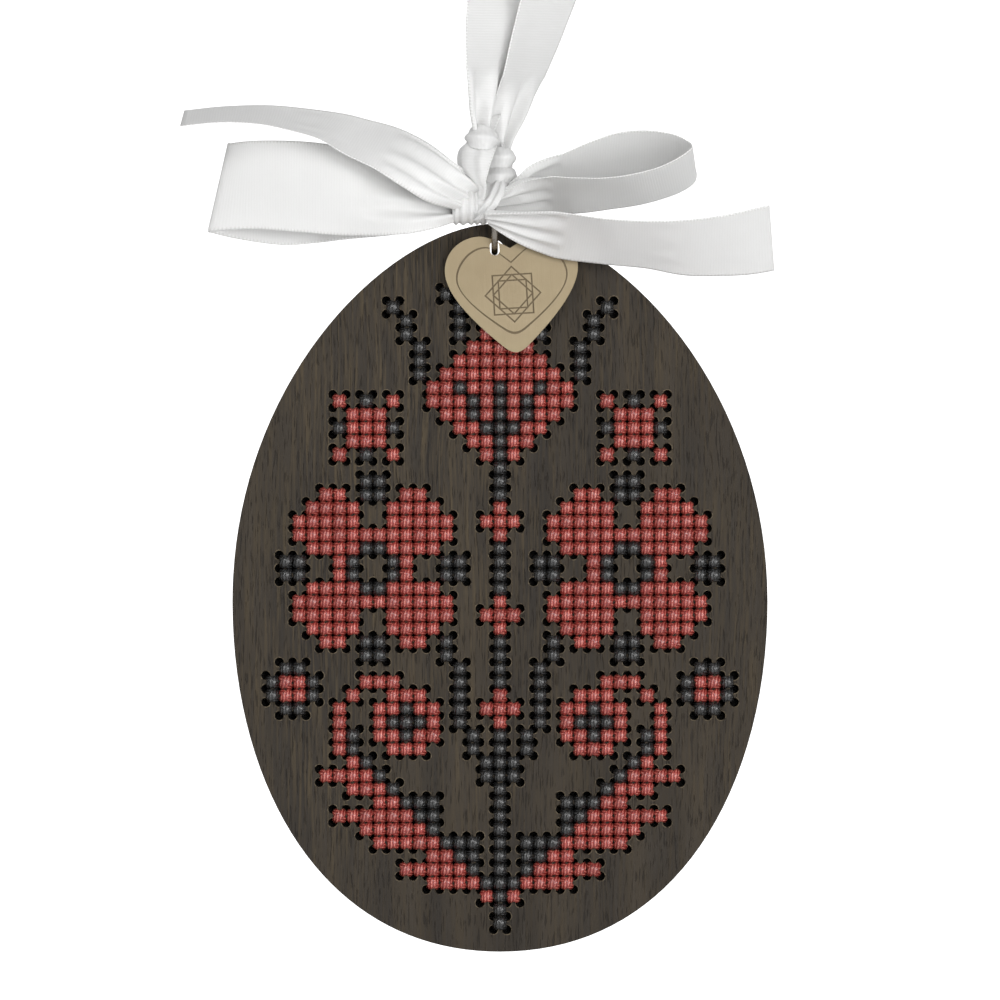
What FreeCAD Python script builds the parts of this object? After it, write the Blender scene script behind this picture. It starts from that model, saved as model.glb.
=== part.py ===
"""Embroidered wooden egg ornament on a ribbon, as separate pieces, in millimetres.

A flat perforated plywood egg is cross-stitched in two colours of thread. It hangs, with a
small heart tag, on a metal jump ring that swings on the wrap of a tied ribbon bow. Above the
bow the ribbon makes a stop knot and a hanging loop.

+X is to the right of the stitched face, +Y points away from the viewer through the board, and
+Z is up. The origin is the inside of the hanging loop at its top, where a hook bears.
"""

import FreeCAD
import Part
import math
import os

# ---- driving dimensions ------------------------------------------------------------------

# Stitching grid: one cross stitch spans four holes at the corners of a cell.
PITCH = 2.0
HOLE_D = 1.45
STITCH_H = 0.6
STITCH_ARM_W = 0.54
STITCH_END_GAP = 0.29

# Egg board: margins run from the outermost stitch holes to the edge.
BOARD_T = 3.0
SIDE_MARGIN = 5.0
TOP_MARGIN = 9.6
BOTTOM_MARGIN = 3.3
WIDEST_ROW = 44.5
TOP_FULLNESS = 0.405
UPPER_FULLNESS = 0.588
LOWER_FULLNESS = 0.512
BOTTOM_FULLNESS = 0.675

# Felt glued to the board's back, over the ends of the floss and below the hanging hole.
FELT_T = 1.0
FELT_INSET = 2.0
FELT_ABOVE_STITCHES = 2.0

# Jump ring and the holes it runs through.
RING_WIRE_D = 1.0
RING_OD = 9.4
RING_X = -0.8
RING_FORWARD = 0.2
RING_SPLIT_DEG = 3.0
HANG_HOLE_D = 2.8
HANG_HOLE_DEPTH = 3.9
HANG_PLAY = 0.3

# Heart tag, measured from the notch between its lobes.
TAG_T = 0.8
TAG_GAP = 0.5
TAG_HALF_W = 9.95
TAG_TIP_DEPTH = 15.6
TAG_LOBE_H = 2.0
TAG_LEAN_DEG = 3.6
TAG_SLOT_W = 1.4
TAG_SLOT_H = 2.1
TAG_HOLE_X = -2.3
TAG_HOLE_Z = 0.1
TAG_BORDER = 1.6
TAG_NOTCH_INSET = 1.25
TAG_TIP_INSET = 1.7
TAG_LINE_W = 0.22
TAG_LINE_DEPTH = 0.2
TAG_STAR_R = (4.3, 3.1)
TAG_STAR_Z = -6.9

# Ribbon, its knots and the way down from the loop.
RIBBON_W = 13.0
RIBBON_T = 0.5
LOOP_DROP = 53.3
STOP_KNOT_H = 8.4
STOP_KNOT_W = 8.4
STOP_KNOT_D = 7.0
STOP_KNOT_R = 1.8
WRAP_D = 1.9
WRAP_PLAY = 0.2
RING_HEADROOM = 1.04
RING_SIDE_GAP = 0.5
BOW_KNOT_W = 5.3
BOW_KNOT_H = 4.1
BOW_KNOT_D = 6.9
BOW_KNOT_R = 1.0
BOW_SIDE_W = 2.8
BOW_KNOT_LAP = 0.3

# Stitch chart: columns 19 to 36 of the left half, the last one on the centre line, from row
# 21 down. A letter names the length of thread that makes the stitch.
FIRST_COLUMN = 19
CENTRE_COLUMN = 36
FIRST_ROW = 21
CHART = [
    ".............i....",
    ".........o....i...",
    "..........o...i..T",
    "..........o...i.TT",
    "...........o...TTT",
    "...........o..TTTT",
    "...........o.TTTTT",
    "............TTtTTt",
    ".....S.s.S..TTTtTt",
    "......SSS....TTtTt",
    ".....sSSSs....TTtt",
    "......SSS......TTt",
    ".....S.s.S......Tt",
    ".................k",
    ".......pp........k",
    "....PP.pp.PP.....k",
    "...PPPP..PPPP....1",
    "..PPPPP..PPPPP..11",
    "..PPPPPPPPPPPP...1",
    "...PPPPppPPPP....k",
    ".pp..Pp..pP..pp..k",
    ".pp..Pp..pP..pp..k",
    "...PPPPppPPPP....k",
    "..PPPPPPPPPPPP...2",
    "..PPPPP..PPPPP..22",
    "...PPPP..PPPP....2",
    "....PP.pp.PP.b...k",
    ".......pp....b...k",
    ".ww...........b..k",
    "wWWw...CCC....b..k",
    "wWWw..C..CCC..b..3",
    ".ww..C..CCeCC.b.33",
    ".....C..CeeeC.b..3",
    ".....Cl.CCeCC..b.k",
    ".....Cl..CCC...b.k",
    "......Ll........bk",
    "....LLLLl.......bk",
    "......LLLl.......k",
    "........LLlll....k",
    ".....LLLLLLll....k",
    ".......LLLLLl....k",
    "........LLLLLlll.k",
    "............LLll.k",
    "..........LLLLLl.k",
    "............LLLLlk",
    "................Lk",
    ".................k",
    ".................k",
]

# Letter to motif. Motifs on the centre line are one piece; the others have a left and a
# right piece.
CENTRE_MOTIFS = {
    "T": "crown_flower_red",
    "t": "crown_flower_black",
    "1": "stem_diamond_top_red",
    "2": "stem_diamond_middle_red",
    "3": "stem_diamond_low_red",
    "k": "stem_black",
}
SIDE_MOTIFS = {
    "o": "ray_outer_black",
    "i": "ray_inner_black",
    "S": "star_red",
    "s": "star_black",
    "P": "rosette_red",
    "p": "rosette_black",
    "W": "small_flower_red",
    "w": "small_flower_black",
    "b": "branch_black",
    "C": "scroll_red",
    "e": "scroll_eye_black",
    "L": "leaf_red",
    "l": "leaf_black",
}

# ---- heights and depths worked out from them ---------------------------------------------

RING_R = (RING_OD - RING_WIRE_D) / 2
RING_INNER_R = RING_R - RING_WIRE_D / 2
BOARD_FRONT = -BOARD_T / 2
BOARD_BACK = BOARD_T / 2
TAG_BACK = BOARD_FRONT - STITCH_H - TAG_GAP
TAG_FRONT = TAG_BACK - TAG_T
TAG_MID = (TAG_BACK + TAG_FRONT) / 2
RING_Y = (TAG_MID + BOARD_BACK) / 2 - RING_FORWARD

STOP_KNOT_TOP = -LOOP_DROP
STOP_KNOT_BOTTOM = STOP_KNOT_TOP - STOP_KNOT_H
WRAP_Z = STOP_KNOT_BOTTOM - RING_HEADROOM - RING_WIRE_D - WRAP_PLAY - WRAP_D / 2
RING_Z = WRAP_Z + WRAP_D / 2 + WRAP_PLAY - RING_INNER_R

WIRE_TOP_IN_BOARD = RING_Z - math.sqrt(RING_INNER_R ** 2 - (BOARD_BACK - RING_Y) ** 2)
HOLE_HALF_CHORD = math.sqrt((HANG_HOLE_D / 2) ** 2 - (RING_WIRE_D / 2) ** 2)
HANG_HOLE_Z = WIRE_TOP_IN_BOARD + HANG_PLAY - HOLE_HALF_CHORD
EGG_TOP = HANG_HOLE_Z + HANG_HOLE_DEPTH

ROWS_ABOVE = WIDEST_ROW - FIRST_ROW
ROWS_BELOW = FIRST_ROW + len(CHART) - WIDEST_ROW
EGG_HALF_W = (CENTRE_COLUMN + 0.5 - FIRST_COLUMN) * PITCH + SIDE_MARGIN
EGG_ABOVE = ROWS_ABOVE * PITCH + TOP_MARGIN
EGG_BELOW = ROWS_BELOW * PITCH + BOTTOM_MARGIN
EGG_MID = EGG_TOP - EGG_ABOVE

TAG_WIRE_Z = RING_Z - math.sqrt(RING_R ** 2 - (TAG_MID - RING_Y) ** 2)

KNOT_RIGHT = RING_X - RING_WIRE_D / 2 - RING_SIDE_GAP
KNOT_LEFT = KNOT_RIGHT - BOW_KNOT_W
KNOT_BACK = RING_Y + WRAP_D / 2 + 0.55
KNOT_FRONT = KNOT_BACK - BOW_KNOT_D
SIDE_LEFT = RING_X + RING_WIRE_D / 2 + RING_SIDE_GAP
SIDE_RIGHT = SIDE_LEFT + BOW_SIDE_W


def vec(x, y, z):
    """A FreeCAD vector."""
    return FreeCAD.Vector(x, y, z)


def bezier(*points):
    """One Bezier edge in the XZ plane at Y 0 from (x, z) control points."""
    curve = Part.BezierCurve()
    curve.setPoles([vec(x, 0, z) for x, z in points])
    return curve.toShape()


def circle_wire(x, y, z, radius):
    """A circular wire about the Y direction."""
    return Part.Wire([Part.makeCircle(radius, vec(x, y, z), vec(0, 1, 0))])


def slot_wire(x, z, width, height):
    """An upright slot with round ends about the Y direction."""
    radius = width / 2
    flat = height / 2 - radius
    left_top = vec(x - radius, 0, z + flat)
    right_top = vec(x + radius, 0, z + flat)
    left_low = vec(x - radius, 0, z - flat)
    right_low = vec(x + radius, 0, z - flat)
    edges = [
        Part.Arc(left_top, vec(x, 0, z + height / 2), right_top).toShape(),
        Part.LineSegment(right_top, right_low).toShape(),
        Part.Arc(right_low, vec(x, 0, z - height / 2), left_low).toShape(),
        Part.LineSegment(left_low, left_top).toShape(),
    ]
    return Part.Wire(edges)


def mirrored_outline(halves, centre_x=0.0):
    """A closed wire from the Bezier control points of its left half and their mirror images."""
    left = [bezier(*points) for points in halves]
    right = []
    for points in reversed(halves):
        right.append(bezier(*[(2 * centre_x - x, z) for x, z in reversed(points)]))
    return Part.Wire(Part.__sortEdges__(left + right))


# ---- the stitching grid ------------------------------------------------------------------

def column_x(column):
    """X of a hole column; column 36.5 is the centre line."""
    return (column - CENTRE_COLUMN - 0.5) * PITCH


def row_z(row):
    """Z of a hole row."""
    return EGG_MID + (WIDEST_ROW - row) * PITCH


def stitched_cells():
    """Cells (column, row) of every motif, keyed by the piece's name."""
    cells = {}
    for step, text in enumerate(CHART):
        row = FIRST_ROW + step
        for offset, letter in enumerate(text):
            column = FIRST_COLUMN + offset
            twin = 2 * CENTRE_COLUMN - column
            if letter in CENTRE_MOTIFS:
                motif = cells.setdefault(CENTRE_MOTIFS[letter], set())
                motif.add((column, row))
                motif.add((twin, row))
            elif letter in SIDE_MOTIFS:
                name = SIDE_MOTIFS[letter]
                cells.setdefault(name + "_left", set()).add((column, row))
                cells.setdefault(name + "_right", set()).add((twin, row))
    return cells


def hole_places(cells):
    """The corner holes of every stitched cell, each once."""
    holes = set()
    for motif in cells.values():
        for column, row in motif:
            for side in (0, 1):
                for end in (0, 1):
                    holes.add((column + side, row + end))
    return sorted(holes)


def cross_stitch():
    """One cross stitch lying on the board's front face, centred on X 0, Z 0."""
    reach = PITCH / math.sqrt(2) - STITCH_END_GAP
    half = STITCH_ARM_W / 2
    arm = [(half, half), (reach, half), (reach, -half)]
    points = []
    for quarter in range(4):
        turn = math.radians(45 - 90 * quarter)
        for along, across in arm:
            x = along * math.cos(turn) - across * math.sin(turn)
            z = along * math.sin(turn) + across * math.cos(turn)
            points.append(vec(x, BOARD_FRONT, z))
    face = Part.Face(Part.makePolygon(points + points[:1]))
    return face.extrude(vec(0, -STITCH_H, 0))


def thread_motif(cells, stitch):
    """All the stitches of one length of thread, as separate solids."""
    placed = []
    for column, row in sorted(cells):
        placed.append(stitch.translated(vec(column_x(column + 0.5), 0, row_z(row + 0.5))))
    return Part.makeCompound(placed)


# ---- board, ring and tag -----------------------------------------------------------------

def egg_outline(half_w, above, below):
    """An egg outline at Y 0: four cubic curves, symmetric about X 0, widest at EGG_MID."""
    top = EGG_MID + above
    bottom = EGG_MID - below
    upper = [
        (0, top),
        (-half_w * TOP_FULLNESS, top),
        (-half_w, EGG_MID + above * UPPER_FULLNESS),
        (-half_w, EGG_MID),
    ]
    lower = [
        (-half_w, EGG_MID),
        (-half_w, EGG_MID - below * LOWER_FULLNESS),
        (-half_w * BOTTOM_FULLNESS, bottom),
        (0, bottom),
    ]
    return mirrored_outline([upper, lower])


def egg_board(cells):
    """The plywood egg with a hole at every stitch corner and the hanging hole."""
    wires = [egg_outline(EGG_HALF_W, EGG_ABOVE, EGG_BELOW)]
    for column, row in hole_places(cells):
        wires.append(circle_wire(column_x(column), 0, row_z(row), HOLE_D / 2))
    wires.append(circle_wire(RING_X, 0, HANG_HOLE_Z, HANG_HOLE_D / 2))
    face = Part.makeFace(wires, "Part::FaceMakerBullseye")
    face.translate(vec(0, BOARD_FRONT, 0))
    return face.extrude(vec(0, BOARD_T, 0))


def back_felt():
    """The felt glued over the board's back, cut straight above the stitches."""
    outline = egg_outline(
        EGG_HALF_W - FELT_INSET, EGG_ABOVE - FELT_INSET, EGG_BELOW - FELT_INSET
    )
    face = Part.Face(outline)
    face.translate(vec(0, BOARD_BACK, 0))
    felt = face.extrude(vec(0, FELT_T, 0))
    cut_z = EGG_MID + ROWS_ABOVE * PITCH + HOLE_D / 2 + FELT_ABOVE_STITCHES
    waste = Part.makeBox(2 * EGG_HALF_W, 3 * FELT_T, EGG_ABOVE)
    waste.translate(vec(-EGG_HALF_W, BOARD_BACK - FELT_T, cut_z))
    return felt.cut(waste).Solids[0]


def jump_ring():
    """The split wire ring, in the YZ plane, its split at the back."""
    ring = Part.makeTorus(
        RING_R, RING_WIRE_D / 2, vec(0, 0, 0), vec(0, 0, 1), 0, 360, 360 - RING_SPLIT_DEG
    )
    ring.rotate(vec(0, 0, 0), vec(0, 0, 1), RING_SPLIT_DEG / 2)
    ring.rotate(vec(0, 0, 0), vec(0, 0, 1), 150)
    ring.rotate(vec(0, 0, 0), vec(0, 1, 0), 90)
    ring.translate(vec(RING_X, RING_Y, RING_Z))
    return ring


def heart_wire(inset=0.0):
    """The heart's outline at Y 0, its notch at X 0, Z 0 and its tip below.

    An inset draws the same heart that much smaller all round.
    """
    notch = -TAG_NOTCH_INSET * inset
    w = TAG_HALF_W - inset
    tip = -TAG_TIP_DEPTH + TAG_TIP_INSET * inset - notch
    lobe = TAG_LOBE_H - inset - notch
    halves = [
        [(0, 0), (-0.15 * w, 0.42 * lobe), (-0.32 * w, lobe), (-0.46 * w, lobe)],
        [(-0.46 * w, lobe), (-0.76 * w, lobe), (-w, -0.02 * w), (-w, 0.2 * tip)],
        [(-w, 0.2 * tip), (-w, 0.42 * tip), (-0.6 * w, 0.7 * tip), (-0.19 * w, 0.938 * tip)],
        [(-0.19 * w, 0.938 * tip), (-0.11 * w, 0.984 * tip), (-0.05 * w, tip), (0, tip)],
    ]
    wire = mirrored_outline(halves)
    wire.translate(vec(0, 0, notch))
    return wire


def star_cut():
    """An engraved eight-pointed folk star: pairs of crossed squares, one inside the other."""
    squares = []
    for radius in TAG_STAR_R:
        for turn_deg in (0, 45):
            lines = []
            for reach in (radius, radius - TAG_LINE_W * math.sqrt(2)):
                corners = []
                for corner in range(5):
                    turn = math.radians(turn_deg + 90 * corner)
                    x = reach * math.cos(turn)
                    corners.append(vec(x, 0, TAG_STAR_Z + reach * math.sin(turn)))
                lines.append(Part.makePolygon(corners))
            face = Part.makeFace(lines, "Part::FaceMakerBullseye")
            squares.append(face.extrude(vec(0, TAG_LINE_DEPTH, 0)))
    return squares[0].fuse(squares[1:])


def border_cut():
    """The engraved line that runs inside the heart's edge."""
    lines = [heart_wire(TAG_BORDER), heart_wire(TAG_BORDER + TAG_LINE_W)]
    face = Part.makeFace(lines, "Part::FaceMakerBullseye")
    return face.extrude(vec(0, TAG_LINE_DEPTH, 0))


def heart_tag():
    """The thin heart with its ring slot, engraved border and star, leaning a little."""
    hole = slot_wire(TAG_HOLE_X, TAG_HOLE_Z, TAG_SLOT_W, TAG_SLOT_H)
    plate = Part.makeFace([heart_wire(), hole], "Part::FaceMakerBullseye")
    tag = plate.extrude(vec(0, TAG_T, 0))
    tag = tag.cut(border_cut())
    tag = tag.cut(star_cut()).Solids[0]
    tag.translate(vec(-TAG_HOLE_X, 0, -TAG_HOLE_Z))
    tag.rotate(vec(0, 0, 0), vec(0, 1, 0), -TAG_LEAN_DEG)
    tag.translate(vec(RING_X, TAG_FRONT, TAG_WIRE_Z))
    return tag


# ---- ribbon ------------------------------------------------------------------------------

def ribbon(stations):
    """A closed strip through stations, each a pair of edge points across the ribbon."""
    middles = [(a + b) * 0.5 for a, b in stations]
    sections = []
    for index, (a, b) in enumerate(stations):
        before = middles[max(index - 1, 0)]
        after = middles[min(index + 1, len(stations) - 1)]
        normal = (b - a).cross(after - before)
        normal.normalize()
        step = normal * (RIBBON_T / 2)
        corners = [a - step, b - step, b + step, a + step, a - step]
        sections.append(Part.makePolygon(corners))
    faces = [Part.Face(sections[0]), Part.Face(sections[-1])]
    for first, second in zip(sections, sections[1:]):
        for near, far in zip(first.Edges, second.Edges):
            faces.append(Part.makeRuledSurface(near, far))
    shell = Part.makeShell(faces)
    shell.sewShape()
    strip = Part.makeSolid(shell)
    if strip.Volume < 0:
        strip.reverse()
    return strip


def across(x, y, z, turn_deg, tilt_deg, width=None):
    """Edge points of a station: its middle, and its width direction turned from +X towards -Y
    by turn_deg and then raised by tilt_deg."""
    half = (RIBBON_W if width is None else width) / 2
    turn = math.radians(turn_deg)
    tilt = math.radians(tilt_deg)
    side = vec(
        math.cos(turn) * math.cos(tilt), -math.sin(turn) * math.cos(tilt), math.sin(tilt)
    )
    middle = vec(x, y, z)
    return middle - side * half, middle + side * half


def hang_loop():
    """The hanging loop: up from the stop knot on the left, over the hook, and down again."""
    base = STOP_KNOT_TOP
    rise = LOOP_DROP
    top = RIBBON_T / 2
    return ribbon([
        across(-2.8, -1.3, base - 0.4, 36, 0, 3.4),
        across(-2.3, -1.8, base + 0.07 * rise, 47, 0, 7.5),
        across(-1.4, -2.7, base + 0.18 * rise, 52, 0),
        across(-0.7, -2.0, base + 0.36 * rise, 46, 0),
        across(-1.4, -1.3, base + 0.48 * rise, 58, 0),
        across(-3.8, -0.1, base + 0.63 * rise, 80, 0),
        across(-4.1, 0, base + 0.80 * rise, 89, 0),
        across(-2.4, 0, base + 0.93 * rise, 90, 0),
        across(0, 0, base + rise + top, 90, 0),
        across(3.6, 0, base + 0.97 * rise, 90, 0),
        across(7.4, 0, base + 0.83 * rise, 89, 0),
        across(8.8, 0.5, base + 0.64 * rise, 82, 0),
        across(9.1, 1.2, base + 0.49 * rise, 63, 0),
        across(7.9, 2.8, base + 0.36 * rise, 53, 0),
        across(4.8, 2.3, base + 0.21 * rise, 53, 0, 11.0),
        across(2.2, 1.2, base + 0.10 * rise, 46, 0, 7.0),
        across(0.6, 0.6, base - 0.4, 40, 0, 3.0),
    ])


def rounded_block(x0, x1, y0, y1, z0, z1, radius):
    """A box with rounded edges."""
    block = Part.makeBox(x1 - x0, y1 - y0, z1 - z0, vec(x0, y0, z0))
    return block.makeFillet(radius, block.Edges)


def stop_knot():
    """The overhand knot that closes the hanging loop."""
    x0 = -0.76 * STOP_KNOT_W
    y0 = RING_Y - STOP_KNOT_D / 2
    return rounded_block(
        x0, x0 + STOP_KNOT_W, y0, y0 + STOP_KNOT_D, STOP_KNOT_BOTTOM, STOP_KNOT_TOP, STOP_KNOT_R
    )


def bow_knot():
    """The bow's knot, the wrap through the ring and the gathered folds on its right."""
    top = STOP_KNOT_BOTTOM + BOW_KNOT_LAP
    low = STOP_KNOT_BOTTOM - BOW_KNOT_H
    left = rounded_block(
        KNOT_LEFT, KNOT_RIGHT, KNOT_FRONT, KNOT_BACK, low, top, BOW_KNOT_R
    )
    right = rounded_block(
        SIDE_LEFT, SIDE_RIGHT, KNOT_FRONT, KNOT_BACK, low, top, BOW_KNOT_R
    )
    start = KNOT_RIGHT - BOW_KNOT_R
    length = SIDE_LEFT + BOW_KNOT_R - start
    wrap = Part.makeCylinder(WRAP_D / 2, length, vec(start, RING_Y, WRAP_Z), vec(1, 0, 0))
    return left.fuse([right, wrap]).Solids[0]


def bow_loop_left():
    """The left loop: its front layer faces the viewer, and it turns back at the far left."""
    z = WRAP_Z
    x = KNOT_LEFT
    y = RING_Y - 2.0
    return ribbon([
        across(x + 0.5, y - 1.5, z + 1.1, 0, 90, 3.6),
        across(x - 2.0, y - 2.2, z + 1.0, 0, 90, 8.5),
        across(x - 7.0, y - 3.6, z + 1.6, 0, 90, 11.5),
        across(x - 15.0, y - 4.6, z + 2.3, 0, 90),
        across(x - 22.0, y - 4.4, z + 2.9, 0, 90),
        across(x - 29.0, y - 3.4, z + 3.2, 0, 88),
        across(x - 33.0, y - 1.8, z + 2.8, 0, 80),
        across(x - 34.2, y - 0.7, z + 2.6, 0, 78),
        across(x - 32.4, y + 0.2, z + 2.0, 0, 82),
        across(x - 28.5, y + 0.4, z + 0.8, 0, 90),
        across(x - 22.0, y + 0.4, z + 0.9, 0, 90),
        across(x - 15.0, y + 0.3, z + 1.5, 0, 90),
        across(x - 7.0, y + 0.3, z + 1.5, 0, 90, 11.0),
        across(x - 2.0, y + 0.8, z + 1.4, 0, 90, 7.0),
        across(x + 0.5, y + 1.0, z + 1.1, 0, 90, 3.2),
    ])


def bow_loop_right():
    """The right loop, tipped so that its lower layer lies in front and its upper one behind."""
    z = WRAP_Z
    x = SIDE_RIGHT
    y = RING_Y - 2.6
    return ribbon([
        across(x - 0.5, y - 0.6, z + 0.4, 90, 25, 3.2),
        across(x + 4.0, y - 0.9, z + 1.7, 90, 22, 10.0),
        across(x + 9.0, y - 1.0, z + 1.5, 90, 23),
        across(x + 14.5, y - 0.8, z + 1.9, 90, 22),
        across(x + 20.0, y - 0.6, z + 2.5, 90, 22),
        across(x + 24.0, y - 0.4, z + 4.2, 90, 20),
        across(x + 26.2, y + 0.4, z + 6.2, 90, 22),
        across(x + 25.0, y + 1.4, z + 8.0, 90, 22),
        across(x + 20.5, y + 2.0, z + 9.0, 90, 22),
        across(x + 15.5, y + 2.0, z + 8.6, 90, 22),
        across(x + 9.5, y + 1.6, z + 6.9, 90, 23),
        across(x + 4.0, y + 1.0, z + 4.6, 90, 25, 10.0),
        across(x - 0.5, y + 0.9, z + 2.6, 90, 30, 3.0),
    ])


def bow_tail_left():
    """The left tail, rising over the left loop and flattening towards its cut end."""
    z = STOP_KNOT_BOTTOM
    x = KNOT_RIGHT
    y = KNOT_FRONT
    return ribbon([
        across(x - 1.6, y - 0.1, z - 1.6, 90, -30, 3.6),
        across(x - 4.4, y - 1.5, z + 0.4, 66, -40, 9.0),
        across(x - 8.8, y - 2.6, z + 3.0, 62, -37),
        across(x - 13.4, y - 2.8, z + 5.4, 66, -30),
        across(x - 18.6, y - 2.4, z + 7.4, 70, -24),
        across(x - 23.6, y - 2.0, z + 8.8, 74, -18),
        across(x - 30.0, y - 1.8, z + 10.0, 84, -14),
        across(x - 37.0, y - 1.8, z + 10.6, 90, -11),
        across(x - 44.2, y - 1.8, z + 10.2, 90, -10),
    ])


def bow_tail_right():
    """The right tail, hanging across the tag and the board's shoulder without touching."""
    z = WRAP_Z
    x = RING_X
    hem = TAG_FRONT - 1.5
    return ribbon([
        across(x - 2.6, KNOT_FRONT + 0.6, z - 0.2, 90, 30, 3.0),
        across(x + 0.2, KNOT_FRONT - 1.2, z - 1.8, 90, 40, 3.2),
        across(x + 3.2, hem - 2.6, z - 2.6, 90, 42, 7.5),
        across(x + 7.5, hem - 4.4, z - 3.8, 90, 34, 11.5),
        across(x + 12.5, hem - 5.4, z - 4.6, 90, 32),
        across(x + 19.0, hem - 5.6, z - 5.2, 90, 34),
        across(x + 26.0, hem - 5.6, z - 5.6, 90, 37),
        across(x + 33.0, hem - 5.0, z - 5.6, 90, 42),
        across(x + 41.2, hem - 4.2, z - 4.6, 90, 47),
    ])


# ---- build every piece -------------------------------------------------------------------

def build_pieces():
    """Every piece of the ornament, keyed by its name."""
    cells = stitched_cells()
    stitch = cross_stitch()
    pieces = {
        "egg_board": egg_board(cells),
        "back_felt": back_felt(),
        "jump_ring": jump_ring(),
        "heart_tag": heart_tag(),
        "hang_loop": hang_loop(),
        "stop_knot": stop_knot(),
        "bow_knot": bow_knot(),
        "bow_loop_left": bow_loop_left(),
        "bow_loop_right": bow_loop_right(),
        "bow_tail_left": bow_tail_left(),
        "bow_tail_right": bow_tail_right(),
    }
    for name, motif in cells.items():
        pieces["thread_" + name] = thread_motif(motif, stitch)
    return pieces


os.makedirs("parts", exist_ok=True)
for piece_name, shape in build_pieces().items():
    if not shape.isValid():
        raise ValueError(piece_name + " is not a valid shape")
    shape.exportStep("parts/" + piece_name + ".step")
    print(piece_name, len(shape.Solids), round(shape.Volume, 2))
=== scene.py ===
"""Looks of an embroidered wooden egg ornament: board, floss, ring, tag and tied ribbon."""

import logging
import math
from collections import Counter
from dataclasses import dataclass, field
from enum import Enum
from typing import Iterable, Sequence

import bpy
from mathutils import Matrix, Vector


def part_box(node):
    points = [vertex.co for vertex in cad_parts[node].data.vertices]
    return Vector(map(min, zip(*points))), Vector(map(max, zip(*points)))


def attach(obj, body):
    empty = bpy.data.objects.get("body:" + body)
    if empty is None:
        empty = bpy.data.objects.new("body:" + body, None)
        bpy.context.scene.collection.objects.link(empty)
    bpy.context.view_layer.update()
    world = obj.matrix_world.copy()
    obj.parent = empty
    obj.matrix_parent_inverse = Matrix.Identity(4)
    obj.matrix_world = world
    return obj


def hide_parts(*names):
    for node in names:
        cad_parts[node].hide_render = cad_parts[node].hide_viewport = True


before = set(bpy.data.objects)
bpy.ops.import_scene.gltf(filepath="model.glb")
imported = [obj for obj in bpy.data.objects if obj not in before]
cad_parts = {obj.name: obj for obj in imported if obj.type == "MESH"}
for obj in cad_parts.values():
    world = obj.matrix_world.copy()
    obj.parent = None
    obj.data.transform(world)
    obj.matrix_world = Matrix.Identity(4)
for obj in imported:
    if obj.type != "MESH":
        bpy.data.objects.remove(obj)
LOG = logging.getLogger("ornament")

# Lengths are in millimetres and lights, cameras and textures in metres, unless a docstring differs.
MM = 0.001
PITCH = 2.0
RIBBON_W = 13.0
RIBBON_T = 0.12
KNOT_LEFT_OF_RING = 0.2
KNOT_BELOW_RING_TOP = 1.98
Colour = tuple[float, float, float]


class Near(Enum):
    """Which edge of a ribbon lies nearer to the viewer."""

    TOP = -1
    BOTTOM = 1


class Held(Enum):
    HUNG = "hung"
    DRAPED = "draped"
    FOLDED = "folded"
    GATHERED = "gathered"


def linear(red: int, green: int, blue: int) -> Colour:
    """Turn display levels into linear light.

    Args:
        red: Red from 0 to 255.
        green: Green from 0 to 255.
        blue: Blue from 0 to 255.

    Returns:
        The three linear values from 0 to 1.
    """
    return tuple(((level / 255 + 0.055) / 1.055) ** 2.4 for level in (red, green, blue))


# ---- materials ---------------------------------------------------------------------------


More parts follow.
